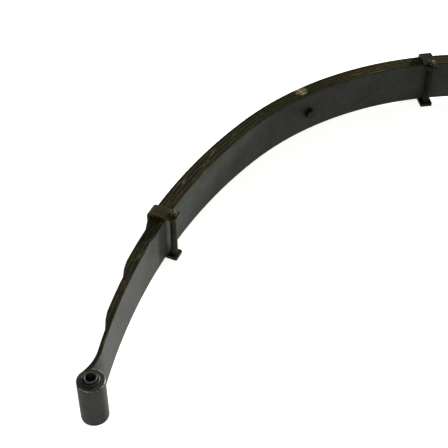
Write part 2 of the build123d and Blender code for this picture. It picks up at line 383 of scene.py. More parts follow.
def corner_wear_group():
    """Where a corner is near, broken up by noise."""
    tree, given, out = shader_group(
        "Corner Wear", [("Vector", "Vector", None), ("Reach", "Float", 0.001), ("Scale", "Float", 90.0),
                        ("Amount", "Float", 0.5)], ["Worn"])
    rounded = add_node(tree, "ShaderNodeBevel", samples=6)
    feed(tree, rounded.inputs["Radius"], given["Reach"])
    normal = add_node(tree, "ShaderNodeNewGeometry").outputs["Normal"]
    both = add_node(tree, "ShaderNodeVectorMath", rounded.outputs[0], normal, operation="DOT_PRODUCT")
    corner = reckon(tree, "SUBTRACT", 1.0, both.outputs["Value"])
    broken = noise(tree, given["Vector"], given["Scale"], detail=4.0, roughness=0.7)
    worn = reckon(tree, "MULTIPLY", ramp(tree, corner, 0.01, 0.12), ramp(tree, broken, 0.35, 0.62))
    feed(tree, out["Worn"], reckon(tree, "MULTIPLY", worn, given["Amount"], clamp=True))
    return tree


mottle, streaks, corner_wear = mottle_group(), streak_group(), corner_wear_group()
print("shader groups:", mottle.name, streaks.name, corner_wear.name)

# %% Start a finish
def place_group(tree, group, **values):
    """Put a shared group in a material with its own values."""
    made = add_node(tree, "ShaderNodeGroup", node_tree=group)
    for label, value in values.items():
        feed(tree, made.inputs[label], value)
    return made.outputs


def blend_colour(tree, amount, first, second):
    """A colour that goes from first to second as amount goes from 0 to 1."""
    made = add_node(tree, "ShaderNodeMix", data_type="RGBA")
    feed(tree, made.inputs[0], amount)
    for socket, colour in zip((made.inputs[6], made.inputs[7]), (first, second)):
        feed(tree, socket, colour if isinstance(colour, bpy.types.NodeSocket) else (*colour, 1))
    return made.outputs[2]


def lay_over(tree, base, mask, strength, colour):
    """A colour laid over another where a mask is, at that strength."""
    return blend_colour(tree, reckon(tree, "MULTIPLY", mask, strength), base, colour)


def start_finish(name):
    """A new material: its tree and its shader."""
    finish = bpy.data.materials.new(name)
    finish.use_nodes = True
    return finish, finish.node_tree, finish.node_tree.nodes["Principled BSDF"]


def dent(tree, shader, height, depth):
    """Feed a height to the shader's normal."""
    bump = add_node(tree, "ShaderNodeBump")
    bump.inputs["Strength"].default_value = 0.6
    bump.inputs["Distance"].default_value = depth
    feed(tree, bump.inputs["Height"], height)
    feed(tree, shader.inputs["Normal"], bump.outputs[0])


print("helpers ready: place_group, blend_colour, lay_over, start_finish, dent")

# %% [markdown]
# ## Paint on the leaves
# The broad faces carry thin black paint that has dulled to a greenish grey. The narrow edges, which are
# sheared and then rubbed in the pack, show olive and rust stains drawn out along the bar, with a dark
# line of old grease in each joint, and a dab of pale marking paint crosses them near the bolt. Their outer
# half is darkened as painted shade. Corners are rubbed thin and carry a painted highlight, which is brightest
# at the eyes. A picture could be wrapped round the bar, but the blank attribute already says how far along,
# how deep and how far across each point is, so plain sums tell face from edge.

# %% Paint the broad faces
def face_paint(tree, blank, shifted, patches, fine):
    """Dull black with greyer blooms, small pale spots and fine scuffs along the bar."""
    bloom = place_group(tree, mottle, Vector=shifted, Scale=17.0, Cover=0.5, Softness=0.08)
    scuffs = place_group(tree, streaks, Vector=blank, Fineness=900.0, Length=60.0, Cover=0.36)
    sheen = blend_colour(tree, bloom["Patches"], (0.043, 0.038, 0.034), (0.034, 0.039, 0.035))
    colour = blend_colour(tree, patches["Patches"], (0.027, 0.027, 0.0208), sheen)
    colour = lay_over(tree, colour, fine["Patches"], 0.35, (0.050, 0.050, 0.039))
    return lay_over(tree, colour, scuffs["Streaks"], 0.18, (0.092, 0.092, 0.082))


print("broad faces: face_paint is ready")

# %% Paint the narrow edges
def stretch(tree, along, rise, fall):
    """A mask for one stretch of the bar, between two places where it fades in and out."""
    return reckon(tree, "MULTIPLY", ramp(tree, along, *rise), ramp(tree, along, *fall))


def edge_paint(tree, shifted, along, depth, joint, tint, outer_shade):
    """Olive with streaks of rust and ochre, stronger where it is weathered, and dark grease at the joints."""
    broad = place_group(tree, mottle, Vector=shifted, Scale=34.0, Cover=0.44, Softness=0.08)
    flecks = place_group(tree, mottle, Vector=shifted, Scale=115.0, Cover=0.27, Softness=0.015)
    stains = place_group(tree, streaks, Vector=shifted, Fineness=420.0, Length=14.0, Cover=0.5)
    rust = place_group(tree, streaks, Vector=shifted, Fineness=170.0, Length=4.0, Cover=0.46)
    ochre = place_group(tree, streaks, Vector=shifted, Fineness=230.0, Length=5.0, Cover=0.44)
    left = stretch(tree, along, (-90 * MM, -240 * MM), (-500 * MM, -440 * MM))
    right = stretch(tree, along, (20 * MM, 110 * MM), (340 * MM, 260 * MM))
    weather = reckon(tree, "MAXIMUM", left, reckon(tree, "MULTIPLY", right, 0.7))
    strength = reckon(tree, "MULTIPLY_ADD", weather, 0.35, 0.5)
    rust_colour = blend_colour(tree, weather, (0.045, 0.020, 0.003), (0.080, 0.033, 0.010))
    ochre_colour = blend_colour(tree, weather, (0.090, 0.066, 0.010), (0.185, 0.130, 0.045))
    outer_half = ramp(tree, depth, 0.3 * THICKNESS, 0.65 * THICKNESS)

    colour = blend_colour(tree, stains["Streaks"], tint, (0.033, 0.030, 0.005))
    colour = lay_over(tree, colour, broad["Patches"], 0.8, (0.015, 0.021, 0.003))
    colour = lay_over(tree, colour, right, 0.4, (0.062, 0.048, 0.013))
    colour = lay_over(tree, colour, rust["Streaks"], strength, rust_colour)
    colour = lay_over(tree, colour, ochre["Streaks"], strength, ochre_colour)
    # Painted shade: the outer half of each edge is darkened, standing for shade on the rounded outer corner.
    colour = lay_over(tree, colour, outer_half, outer_shade, (0.006, 0.008, 0.002))
    colour = lay_over(tree, colour, joint, 0.9, (0.004, 0.005, 0.001))
    return lay_over(tree, colour, flecks["Patches"], 0.5, (0.22, 0.20, 0.13))


print("narrow edges: edge_paint is ready")

# %% Find the eyes and the marking paint
MARK_AT, MARK_RAGGED, MARK_SOFT = -4 * MM, 16 * MM, 0.6 * MM


def eye_mask(tree, along):
    """Comes on where the bar rolls into either eye."""
    past = reckon(tree, "MAXIMUM", reckon(tree, "SUBTRACT", -eye_start[-1], along),
                  reckon(tree, "SUBTRACT", along, eye_start[1]))
    return ramp(tree, past, -10 * MM, 5 * MM)


def mark_mask(tree, along, across, height, dab):
    """A dab with a ragged outline on the upper edge, dab being half its length on this leaf."""
    from_mark = reckon(tree, "ABSOLUTE", reckon(tree, "SUBTRACT", along, MARK_AT))
    ragged = reckon(tree, "MULTIPLY_ADD", reckon(tree, "SUBTRACT", height, 0.7), MARK_RAGGED, from_mark)
    mark = reckon(tree, "SUBTRACT", 1.0, ramp(tree, ragged, dab - MARK_SOFT, dab + MARK_SOFT))
    return reckon(tree, "MULTIPLY", mark, reckon(tree, "GREATER_THAN", across, HALF - 0.8 * MM))


print("eyes start at mm:", {side: round(at / MM, 1) for side, at in eye_start.items()})

# %% Make the leaf finishes
LEAF_SHINE = 0.04
# The value after tint darkens the outer half of the edges as painted shade, most on the outermost leaf, whose
# darker tint is partly the same painted shade.
LEAF_LOOKS = (  # from the main leaf outwards, and a negative dab leaves that leaf unmarked
    {"dab": -9 * MM, "tint": (0.014, 0.014, 0.006), "outer_shade": 0.3, "shift": 0.0},
    {"dab": 4 * MM, "tint": (0.015, 0.014, 0.004), "outer_shade": 0.3, "shift": 1.3},
    {"dab": 8.5 * MM, "tint": (0.014, 0.014, 0.004), "outer_shade": 0.3, "shift": 2.6},
    {"dab": 6.5 * MM, "tint": (0.007, 0.009, 0.003), "outer_shade": 0.9, "shift": 3.9},
)


def leaf_finish(name, dab, tint, outer_shade, shift):
    """Paint for one leaf. dab is half the length of its marking paint, tint the deepest stain on its edges
    and the value after tint how dark the painted shade on their outer half is. shift moves the stains, so
    that no two leaves are alike."""
    finish, tree, shader = start_finish(name)
    blank = add_node(tree, "ShaderNodeAttribute", attribute_name="blank").outputs["Vector"]
    along, depth, across = add_node(tree, "ShaderNodeSeparateXYZ", blank).outputs
    shifted = add_node(tree, "ShaderNodeVectorMath", blank, (shift, 0, 0), operation="ADD").outputs[0]

    sideways = reckon(tree, "ABSOLUTE", across)
    inwards = reckon(tree, "ABSOLUTE", reckon(tree, "SUBTRACT", depth, THICKNESS / 2))
    edge = ramp(tree, sideways, HALF - 0.75 * MM, HALF - 0.25 * MM)
    joint = ramp(tree, inwards, THICKNESS / 2 - 1.1 * MM, THICKNESS / 2 - 0.3 * MM)
    corner = reckon(tree, "MULTIPLY", ramp(tree, sideways, HALF - 1.3 * MM, HALF - 0.7 * MM),
                    ramp(tree, inwards, THICKNESS / 2 - 1.0 * MM, THICKNESS / 2 - 0.5 * MM))
    patches = place_group(tree, mottle, Vector=blank, Scale=22.0, Cover=0.5, Softness=0.16)
    fine = place_group(tree, mottle, Vector=blank, Scale=160.0, Cover=0.46, Softness=0.05)
    # Corner masks: paint rubbed thin with a painted highlight on it, and a brighter painted highlight at the
    # eyes.
    rubbed_and_highlight = reckon(tree, "MULTIPLY", corner, ramp(tree, fine["Height"], 0.62, 0.86))
    eye_corner_highlight = reckon(tree, "MULTIPLY", corner, ramp(tree, patches["Grain"], 0.45, 0.6))
    at_eye = eye_mask(tree, along)
    mark = mark_mask(tree, along, across, fine["Height"], dab)
    chalk = blend_colour(tree, fine["Patches"], (0.15, 0.12, 0.06), (0.36, 0.31, 0.21))

    colour = blend_colour(tree, edge, face_paint(tree, blank, shifted, patches, fine),
                          edge_paint(tree, shifted, along, depth, joint, tint, outer_shade))
    # Pale corners are partly rubbed paint and partly a painted highlight; at the eyes they get a bright
    # painted highlight.
    colour = lay_over(tree, colour, rubbed_and_highlight, 0.35, (0.13, 0.12, 0.08))
    colour = lay_over(tree, colour, reckon(tree, "MULTIPLY", edge, at_eye), 0.6, (0.070, 0.072, 0.052))
    colour = lay_over(tree, colour, eye_corner_highlight, at_eye, (0.34, 0.34, 0.31))
    feed(tree, shader.inputs["Base Color"], blend_colour(tree, mark, colour, chalk))
    feed(tree, shader.inputs["Roughness"], reckon(tree, "MULTIPLY_ADD", patches["Grain"], 0.22, 0.36))
    shader.inputs["Specular IOR Level"].default_value = LEAF_SHINE
    dent(tree, shader, reckon(tree, "MULTIPLY_ADD", fine["Height"], 0.25, patches["Height"]), 0.25 * MM)
    return finish


leaf_paint = [leaf_finish(f"leaf_paint_{level}", **looks) for level, looks in enumerate(LEAF_LOOKS)]
print("leaf finishes:", [finish.name for finish in leaf_paint])

# %% [markdown]
# ## The straight bars
# Each leaf starts as a flat bar: a rounded rectangle repeated at many places along it. The three shorter
# leaves are rolled thin at their tips and lose their corners, so their section shrinks near each end. A
# scaled cube could not do that. The sections are closer together where the bend will be tight.

# %% Draw a bar's section
BAR_CORNER, BAR_PACE = 1.1 * MM, 4 * MM


def bar_section(low, high, half):
    """Rounded rectangle of (depth, across) points, with close points beside each corner to hold it flat."""
    corner = min(BAR_CORNER, 0.45 * (high - low), 0.45 * 2 * half)
    hold = min(0.5 * MM, 0.3 * (high - low - 2 * corner) + 1e-6)
    points = []
    for quarter, (depth, across) in enumerate(
            ((high - corner, half - corner), (low + corner, half - corner),
             (low + corner, corner - half), (high - corner, corner - half))):
        for third in (-1, 0, 1, 2, 3, 4):
            angle = math.radians(90 * quarter + 30 * min(max(third, 0), 3))
            slip = hold * ((third == 4) - (third == -1))
            points.append((depth + corner * math.cos(angle) - slip * math.sin(angle),
                           across + corner * math.sin(angle) + slip * math.cos(angle)))
    return points


def join_sections(name, rows):
    """Skin a list of sections, each a list of (along, depth, across) points, and cap both ends."""
    bm = bmesh.new()
    loops = [[bm.verts.new(point) for point in row] for row in rows]
    for near, far in zip(loops, loops[1:]):
        for i in range(len(near)):
            j = (i + 1) % len(near)
            bm.faces.new((near[i], near[j], far[j], far[i]))
    bm.faces.new(list(reversed(loops[0])))
    bm.faces.new(loops[-1])
    return new_object(name, bm)


def paces(begin, end, pace):
    """Even steps from begin up to, but not at, end."""
    count = max(1, round(abs(end - begin) / pace))
    return [begin + (end - begin) * i / count for i in range(count)]


def square_row(along, low=0, high=THICKNESS, half=HALF):
    """Section cut square across the bar, full size unless told otherwise."""
    return [(along, depth, across) for depth, across in bar_section(low, high, half)]


def end_nip(back, ease):
    """How much a section shrinks that far back from an end, to round the end off."""
    return ease - math.sqrt(max(0.0, ease**2 - (ease - min(back, ease))**2))


print("points in a section:", len(square_row(0)))

# %% Forge the three shorter leaves
TIP_TAPER, TIP_THICKNESS, TIP_CORNER, TIP_EASE = 24 * MM, 2.2 * MM, 12 * MM, 0.8 * MM
FIRST_TIP, NEXT_TIP = 78 * MM, 82 * MM  # how far the second leaf ends from the eye, and each one after it
BESIDE = 0.4 * MM  # how close the sections on each side of a change of slope stand to it
PLAIN_FROM = 27 * MM  # how far back from a tip the bar is plain
LEAF_NAMES = ("main_leaf", "second_leaf", "third_leaf", "fourth_leaf")


def tip_row(along, back):
    """Section of a shorter leaf that far back from its tip."""
    nip = end_nip(back, TIP_EASE)
    thick = TIP_THICKNESS + (THICKNESS - TIP_THICKNESS) * min(back / TIP_TAPER, 1)
    return square_row(along, nip, thick - nip, HALF - max(0.0, TIP_CORNER - back) - nip)


def tip_backs():
    """Distances back from a tip: close together at its round end and beside each change of slope."""
    backs = [0, 0.1 * MM, 0.4 * MM, 0.8 * MM, 1.4 * MM, *paces(3 * MM, TIP_CORNER - BESIDE, 2.2 * MM)]
    backs += [TIP_CORNER - BESIDE, TIP_CORNER, TIP_CORNER + BESIDE]
    backs += paces(14 * MM, TIP_TAPER - BESIDE, 2.5 * MM)
    return backs + [TIP_TAPER - BESIDE, TIP_TAPER, TIP_TAPER + BESIDE]


def finish_piece(piece, slot, body, *nodes):
    """Hand a finished piece to its body and hide the measured pieces it stands for. slot is not used."""
    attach(piece, body)
    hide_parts(*nodes)
    return piece


for level in (1, 2, 3):
    tip = FIRST_TIP + (level - 1) * NEXT_TIP
    left_tip, right_tip = -(EYE_AT[-1] - tip), EYE_AT[1] - tip
    rows = [tip_row(left_tip + back, back) for back in tip_backs()]
    rows += [square_row(along) for along in paces(left_tip + PLAIN_FROM, right_tip - PLAIN_FROM, BAR_PACE)]
    rows += [tip_row(right_tip - back, back) for back in reversed(tip_backs())]
    bar = join_sections(f"{LEAF_NAMES[level]}_bent", rows)
    leaf = run_tree(bar, bend_leaf, {**BENDS, "Lift": level * THICKNESS, "Finish": leaf_paint[level]})
    finish_piece(leaf, "leaf_paint", "spring", LEAF_NAMES[level])
    print(leaf.name, "faces:", len(leaf.data.polygons))

# %% [markdown]
# ## The main leaf and its eyes
# The longest leaf goes on past the others, swings up in a short gooseneck and rolls round a mandrel until
# its end nearly closes on itself. The eye could be a ring joined on, but then its end would have no lip
# and the stains would stop at the joint. The same bending tree rolls it, because the neck and the roll are
# only two more arcs. The bar's end is cut on the slant, so that it lies snug against the neck.

# %% Roll the main leaf
ROLLED, ROLL_PACE, NECK_PACE, SCARF_EASE = 58 * MM, 0.95 * MM, 2.5 * MM, 0.6 * MM
ROLL_INSIDE, ROLL_OUTSIDE = math.radians(342.4), math.radians(314.2)  # how far round each face of it goes


def scarf_row(side, back):
    """Section of the main leaf that far back from its slanted end."""
    nip = end_nip(back, SCARF_EASE)
    inner, outer = EYE_BORE * ROLL_INSIDE, EYE_BORE * ROLL_OUTSIDE
    row = []
    for depth, across in bar_section(nip, THICKNESS - nip, HALF - nip):
        end = inner + (outer - inner) * depth / THICKNESS
        row.append((side * (eye_start[side] + (end - back)), depth, across))
    return row


ends = {}
for side in (-1, 1):
    start = eye_start[side]
    slant = [scarf_row(side, back) for back in (0, 0.1 * MM, 0.3 * MM, 0.6 * MM, 1.2 * MM)]
    roll = [square_row(side * along) for along in paces(start + ROLLED, start, ROLL_PACE)]
    neck = [square_row(side * along) for along in paces(start, arm_end[side], NECK_PACE)]
    ends[side] = slant + roll + neck
middle = [square_row(along) for along in paces(-arm_end[-1], arm_end[1], BAR_PACE)]
bar = join_sections("main_leaf_rolled", ends[-1] + middle + list(reversed(ends[1])))
main = run_tree(bar, bend_leaf, {**BENDS, "Lift": 0.0, "Finish": leaf_paint[0]})
finish_piece(main, "leaf_paint", "spring", "main_leaf")
print(main.name, "faces:", len(main.data.polygons))

# %% [markdown]
# ## Turned pieces
# Sleeves, shells, rubbers, tubes, rivets and bolts are all round. Blender's Spin or Screw modifier could
# turn them, but a few lines do it directly: an outline of radius and height is copied round an axis. The
# corners of the outline are eased first, because a turned edge catches a thin line of light.

# %% Turn an outline on its axis
def eased(outline, radius, closed):
    """Round the corners of an outline, with a close point each side to hold the faces flat."""
    points = []
    for i, here in enumerate(outline):
        if not closed and i in (0, len(outline) - 1):
            points.append(here)
            continue
        corner = Vector(here)
        back = Vector(outline[i - 1]) - corner
        on = Vector(outline[(i + 1) % len(outline)]) - corner
        bend = back.angle(on)
        reach = min(radius / math.tan(bend / 2), 0.4 * back.length, 0.4 * on.length)
        begin, finish = corner + back.normalized() * reach, corner + on.normalized() * reach
        hold = min(0.25 * MM, 0.15 * back.length, 0.15 * on.length)
        points.append(begin + back.normalized() * hold)
        for t in (0, 0.33, 0.67, 1):
            points.append(begin * (1 - t)**2 + corner * 2 * t * (1 - t) + finish * t**2)
        points.append(finish + on.normalized() * hold)
    return [(point[0], point[1]) for point in points]


def turned_piece(name, outline, facets=72, seam=0.0):
    """Copy an outline round Z. seam leaves that angle open, as in a tube rolled from sheet."""
    closed = outline[0][0] > 0 and outline[-1][0] > 0
    turns = facets + (1 if seam else 0)
    bm, hubs, columns = bmesh.new(), {}, []
    for i in range(turns):
        angle = seam / 2 + (2 * math.pi - seam) * i / facets
        column = []
        for j, (radius, height) in enumerate(outline):
            if radius == 0 and j not in hubs:
                hubs[j] = bm.verts.new((0, 0, height))
            column.append(hubs[j] if radius == 0 else bm.verts.new(
                (radius * math.cos(angle), radius * math.sin(angle), height)))
        columns.append(column)
    for i in range(facets):
        near, far = columns[i], columns[(i + 1) % turns]
        for j in range(len(outline) - (0 if closed else 1)):
            k = (j + 1) % len(outline)
            bm.faces.new(list(dict.fromkeys((near[j], far[j], far[k], near[k]))))
    if seam:
        bm.faces.new(columns[0])
        bm.faces.new(list(reversed(columns[-1])))
    bmesh.ops.recalc_face_normals(bm, faces=bm.faces)
    return new_object(name, bm)


def set_down(piece, place, finish):
    """Bake a place into the mesh and paint it."""
    piece.data.transform(place)
    piece.data.materials.clear()
    piece.data.materials.append(finish)
    return piece


def axis_of(node):
    """Where the upright axis of a measured piece stands."""
    low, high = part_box(node)
    return Matrix.Translation(((low.x + high.x) / 2, (low.y + high.y) / 2, 0))


print("left eye centre mm:", [round(v / MM, 2) for v in axis_of("left_bush_sleeve").translation])

# %% [markdown]
# ## Finishes of the bushes
# The rubber is black, with a chalky bloom in patches. The thin shell round it and the sleeve inside it are
# plain steel, dark with oil and brighter where they rub. One grey for each would look like plastic. Steel
# that is bare is metallic, and the dirt on it is not, so a mask drives Metallic as well as the colour.

# %% Make rubber and steel
def object_vector(tree):
    """Object coordinates, which are metres from the spring's own origin."""
    return add_node(tree, "ShaderNodeTexCoord").outputs["Object"]


def rubber_finish():
    """Black rubber with chalky bloom."""
    finish, tree, shader = start_finish("bush_rubber")
    place = object_vector(tree)
    bloom = place_group(tree, mottle, Vector=place, Scale=150.0, Cover=0.45, Softness=0.14)
    colour = blend_colour(tree, bloom["Patches"], (0.010, 0.010, 0.009), (0.026, 0.026, 0.023))
    feed(tree, shader.inputs["Base Color"], colour)
    feed(tree, shader.inputs["Roughness"], reckon(tree, "MULTIPLY_ADD", bloom["Grain"], 0.3, 0.5))
    shader.inputs["Specular IOR Level"].default_value = 0.3
    dent(tree, shader, bloom["Height"], 0.12 * MM)
    return finish


def steel_finish(name, bright, oil, scale):
    """Bare steel under a film of dark oil."""
    finish, tree, shader = start_finish(name)
    place = object_vector(tree)
    film = place_group(tree, mottle, Vector=place, Scale=scale, Cover=0.55, Softness=0.12)
    worn = place_group(tree, corner_wear, Vector=place, Reach=0.8 * MM, Scale=240.0, Amount=0.9)
    dirt = reckon(tree, "SUBTRACT", film["Patches"], worn["Worn"], clamp=True)
    feed(tree, shader.inputs["Base Color"], blend_colour(tree, dirt, bright, oil))
    feed(tree, shader.inputs["Metallic"], reckon(tree, "MULTIPLY_ADD", dirt, -0.75, 0.9))
    feed(tree, shader.inputs["Roughness"], reckon(tree, "MULTIPLY_ADD", film["Grain"], 0.3, 0.28))
    dent(tree, shader, film["Height"], 0.08 * MM)
    return finish


bush_rubber = rubber_finish()
sleeve_steel = steel_finish("sleeve_steel", (0.12, 0.12, 0.11), (0.012, 0.012, 0.010), 130.0)
shell_steel = steel_finish("shell_steel", (0.16, 0.16, 0.14), (0.020, 0.020, 0.016), 110.0)
print("bush finishes:", bush_rubber.name, sleeve_steel.name, shell_steel.name)

# %% [markdown]
# ## The bushes
# In each eye a rubber ring is moulded between a thin steel shell, pressed into the eye, and a sleeve that
# the shackle bolt clamps. The rubber stands proud of the shell and spreads over its end in a lip, with
# moulding rings on its face. The sleeve stands prouder still. The sleeve turns with the shackle, so it
# rides on its own body, and the rubber stays with the spring.

# %% Turn the bushes
SHELL_WALL, SHELL_END, SLEEVE_BORE = 1.1 * MM, HALF - 0.5 * MM, 6.1 * MM
SLEEVE_OUT, SLEEVE_END, RUBBER_END = SLEEVE_BORE + 1.4 * MM, HALF + 4.9 * MM, HALF + 2.2 * MM
shell_in = EYE_BORE - SHELL_WALL
MOULD_RINGS = (  # from the sleeve's side, the share of the rubber's face and how many mm it is sunk there
    (0.72, 0.0), (0.62, 0.45), (0.50, 0.45), (0.42, 0.0), (0.25, 0.0), (0.0, 0.7))


def ring_outline(inner, outer, end):
    """Outline of a plain ring, the same above and below the middle."""
    return [(inner, -end), (outer, -end), (outer, end), (inner, end)]


def rubber_outline():
    """Outline of the rubber: its upper half, with the same upside down below it."""
    bore, lip = SLEEVE_OUT + 0.05 * MM, shell_in + 0.8 * MM
    upper = [(shell_in, SHELL_END), (lip, SHELL_END), (lip, RUBBER_END - 0.8 * MM), (shell_in, RUBBER_END)]
    face = shell_in - bore
    for share, sink in MOULD_RINGS:
        upper.append((bore + face * share, RUBBER_END - sink * MM))
    return [(radius, -height) for radius, height in reversed(upper)] + upper


RINGS = (  # name, measured piece, slot, finish, outline, how far its corners are rounded
    ("sleeve_turned", "bush_sleeve", "sleeve_steel", sleeve_steel,
     ring_outline(SLEEVE_BORE, SLEEVE_OUT, SLEEVE_END), 0.4 * MM),
    ("shell_drawn", "bush_shell", "shell_steel", shell_steel,
     ring_outline(shell_in, EYE_BORE, SHELL_END), 0.3 * MM),
    ("rubber_moulded", "bush_rubber", "bush_rubber", bush_rubber, rubber_outline(), 0.25 * MM),
)
for side in ("left", "right"):
    for name, node, slot, finish, outline, rounding in RINGS:
        ring = turned_piece(f"{side}_{name}", eased(outline, rounding, True))
        set_down(ring, axis_of(f"{side}_bush_sleeve"), finish)
        body = f"{side}_sleeve" if node == "bush_sleeve" else "spring"
        finish_piece(ring, slot, body, f"{side}_{node}")
        print(ring.name, "faces:", len(ring.data.polygons))

# %% [markdown]
# ## Paint on the clips and fasteners
# The clips are the same paint over bent strip, browner on the left one and, as painted shade, nearly black
# on the right one, and it has chipped at the corners. Chips could be modelled, but they are thinner than a
# hair, so the corner group finds the corners by looking at how the surface turns nearby, and noise breaks the
# wear up. The pale worn corners also carry a painted highlight.

# %% Make the clip and fastener paints
PAINT_SHINE = 0.05


def worn_paint(name, dark, light, bare_and_glint, stain, wear):
    """Old paint with stains, freckles of rust and worn corners, which are pale both from wear and as a
    painted highlight.
    """
    finish, tree, shader = start_finish(name)
    place = object_vector(tree)
    tone = place_group(tree, mottle, Vector=place, Scale=70.0, Cover=0.5, Softness=0.15)
    broad = place_group(tree, mottle, Vector=place, Scale=48.0, Cover=0.5, Softness=0.1)
    freckles = place_group(tree, mottle, Vector=place, Scale=260.0, Cover=0.36, Softness=0.05)
    worn = place_group(tree, corner_wear, Vector=place, Reach=1.0 * MM, Scale=170.0, Amount=wear)
    colour = blend_colour(tree, tone["Patches"], dark, light)
    colour = lay_over(tree, colour, broad["Patches"], stain, (0.066, 0.046, 0.018))
    colour = lay_over(tree, colour, freckles["Patches"], stain, (0.075, 0.036, 0.012))
    # Worn corners: paint worn through to the metal, and a painted highlight on the corners.
    feed(tree, shader.inputs["Base Color"], blend_colour(tree, worn["Worn"], colour, bare_and_glint))
    feed(tree, shader.inputs["Roughness"], reckon(tree, "MULTIPLY_ADD", tone["Grain"], 0.25, 0.36))
    feed(tree, shader.inputs["Metallic"], reckon(tree, "MULTIPLY", worn["Worn"], 0.4))
    shader.inputs["Specular IOR Level"].default_value = PAINT_SHINE
    dent(tree, shader, reckon(tree, "MULTIPLY_ADD", freckles["Patches"], 0.2, tone["Height"]), 0.15 * MM)
    return finish


clip_paint = worn_paint("clip_paint", dark=(0.011, 0.014, 0.004), light=(0.027, 0.025, 0.008),
                        bare_and_glint=(0.36, 0.30, 0.19), stain=0.55, wear=0.9)
# Painted shade: a near-black copy of the clip paint, used on the right clip's strap and tube.
shaded_clip_paint = worn_paint("shaded_clip_paint", dark=(0.004, 0.006, 0.002), light=(0.010, 0.011, 0.003),
                          bare_and_glint=(0.30, 0.28, 0.20), stain=0.06, wear=0.5)
tube_paint = worn_paint("tube_paint", dark=(0.010, 0.010, 0.006), light=(0.022, 0.022, 0.016),
                        bare_and_glint=(0.16, 0.16, 0.14), stain=0.2, wear=0.5)
fastener_paint = worn_paint("fastener_paint", dark=(0.009, 0.009, 0.005), light=(0.017, 0.016, 0.008),
                            bare_and_glint=(0.36, 0.31, 0.20), stain=0.15, wear=0.9)
STRAP_PAINTS = {"left": clip_paint, "right": shaded_clip_paint}
TUBE_PAINTS = {"left": tube_paint, "right": shaded_clip_paint}
print("paints:", clip_paint.name, shaded_clip_paint.name, tube_paint.name, fastener_paint.name)

# %% [markdown]
# ## Straps and nuts
# A strap is flat strip bent into a U, and a nut is a hexagon with its corners turned off. Both are already
# right in the measured model, holes and all, and only their edges are too sharp. A copy of each is welded,
# its flat triangles are merged into whole faces, and a Bevel modifier breaks the edges.

# %% Soften the straps and nuts
IN_PLACE = Matrix.Identity(4)


def softened(node, name, width):
    """A welded copy of a measured piece with its edges broken."""
    bm = bmesh.new()
    bm.from_mesh(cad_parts[node].data)
    bmesh.ops.remove_doubles(bm, verts=bm.verts, dist=1e-6)
    bmesh.ops.dissolve_limit(bm, angle_limit=math.radians(1), verts=bm.verts, edges=bm.edges)
    copy = new_object(name, bm)
    bevel = copy.modifiers.new("broken edges", "BEVEL")
    bevel.limit_method, bevel.angle_limit = "ANGLE", math.radians(30)
    bevel.width, bevel.segments, bevel.harden_normals = width, 2, True
    return plain_mesh(copy)


for side in ("left", "right"):
    strap = softened(f"{side}_clip_strap", f"{side}_strap_bent", 0.5 * MM)
    finish_piece(set_down(strap, IN_PLACE, STRAP_PAINTS[side]), "clip_paint", "spring", f"{side}_clip_strap")
    nut = softened(f"{side}_clip_nut", f"{side}_nut_pressed", 0.3 * MM)
    finish_piece(set_down(nut, IN_PLACE, fastener_paint), "fastener_paint", "spring", f"{side}_clip_nut")
    print(side, "strap faces:", len(strap.data.polygons), "nut faces:", len(nut.data.polygons))
centre_nut = softened("centre_bolt_nut", "centre_nut_pressed", 0.35 * MM)
finish_piece(set_down(centre_nut, IN_PLACE, fastener_paint), "fastener_paint", "spring", "centre_bolt_nut")
print("centre nut faces:", len(centre_nut.data.polygons))

# %% [markdown]
# ## Screw threads
# The ends of the bolts stand past their nuts and show a turn or two of thread. A thread could be a helix
# swept round the bolt, but it is quicker to press one into a turned bolt: a Geometry Nodes tree moves each
# point towards the axis by a triangle wave of its height and its angle, which is just what a die does.

# %% Build the thread tree
def thread_tree():
    """Presses a thread into a bolt that stands on Z, between two heights."""
    tree, given = geometry_tree("Cut Thread", ["Pitch", "Depth", "Start", "Run"])
    here = add_node(tree, "GeometryNodeInputPosition").outputs[0]
    x, y, z = add_node(tree, "ShaderNodeSeparateXYZ", here).outputs
    angle = reckon(tree, "DIVIDE", reckon(tree, "ARCTAN2", y, x), 2 * math.pi)
    turns = reckon(tree, "SUBTRACT", reckon(tree, "DIVIDE", z, given["Pitch"]), angle)
    wave = reckon(tree, "ABSOLUTE", reckon(tree, "MULTIPLY_ADD", reckon(tree, "FRACT", turns), 2.0, -1.0))
    above = reckon(tree, "DIVIDE", reckon(tree, "SUBTRACT", z, given["Start"]), given["Run"], clamp=True)
    flat = add_node(tree, "ShaderNodeVectorMath", here, (1, 1, 0), operation="MULTIPLY").outputs[0]
    radius = add_node(tree, "ShaderNodeVectorMath", flat, operation="LENGTH").outputs["Value"]
    bite = reckon(tree, "MULTIPLY", reckon(tree, "MULTIPLY", wave, above), given["Depth"])
    share = reckon(tree, "DIVIDE", bite, reckon(tree, "MAXIMUM", radius, 0.001))
    inward = add_node(tree, "ShaderNodeVectorMath", flat, operation="SCALE")
    feed(tree, inward.inputs["Scale"], reckon(tree, "MULTIPLY", share, -1.0))
    moved = add_node(tree, "GeometryNodeSetPosition", given["Geometry"])
    feed(tree, moved.inputs["Offset"], inward.outputs[0])
    close_tree(tree, moved.outputs[0], given["Finish"])
    return tree


cut_thread = thread_tree()
print("nodes in the thread tree:", len(cut_thread.nodes))

# %% [markdown]
# ## Bolts, rivets and spacer tubes
# The centre bolt has a thick round head on the concave side that locates the spring. Each clip is closed
# by a countersunk bolt through a spacer tube, which is rolled from sheet and keeps a fine seam. The tube is
# loose and spins on its bolt, so it rides on its own body. A rivet holds each strap to the shortest leaf.

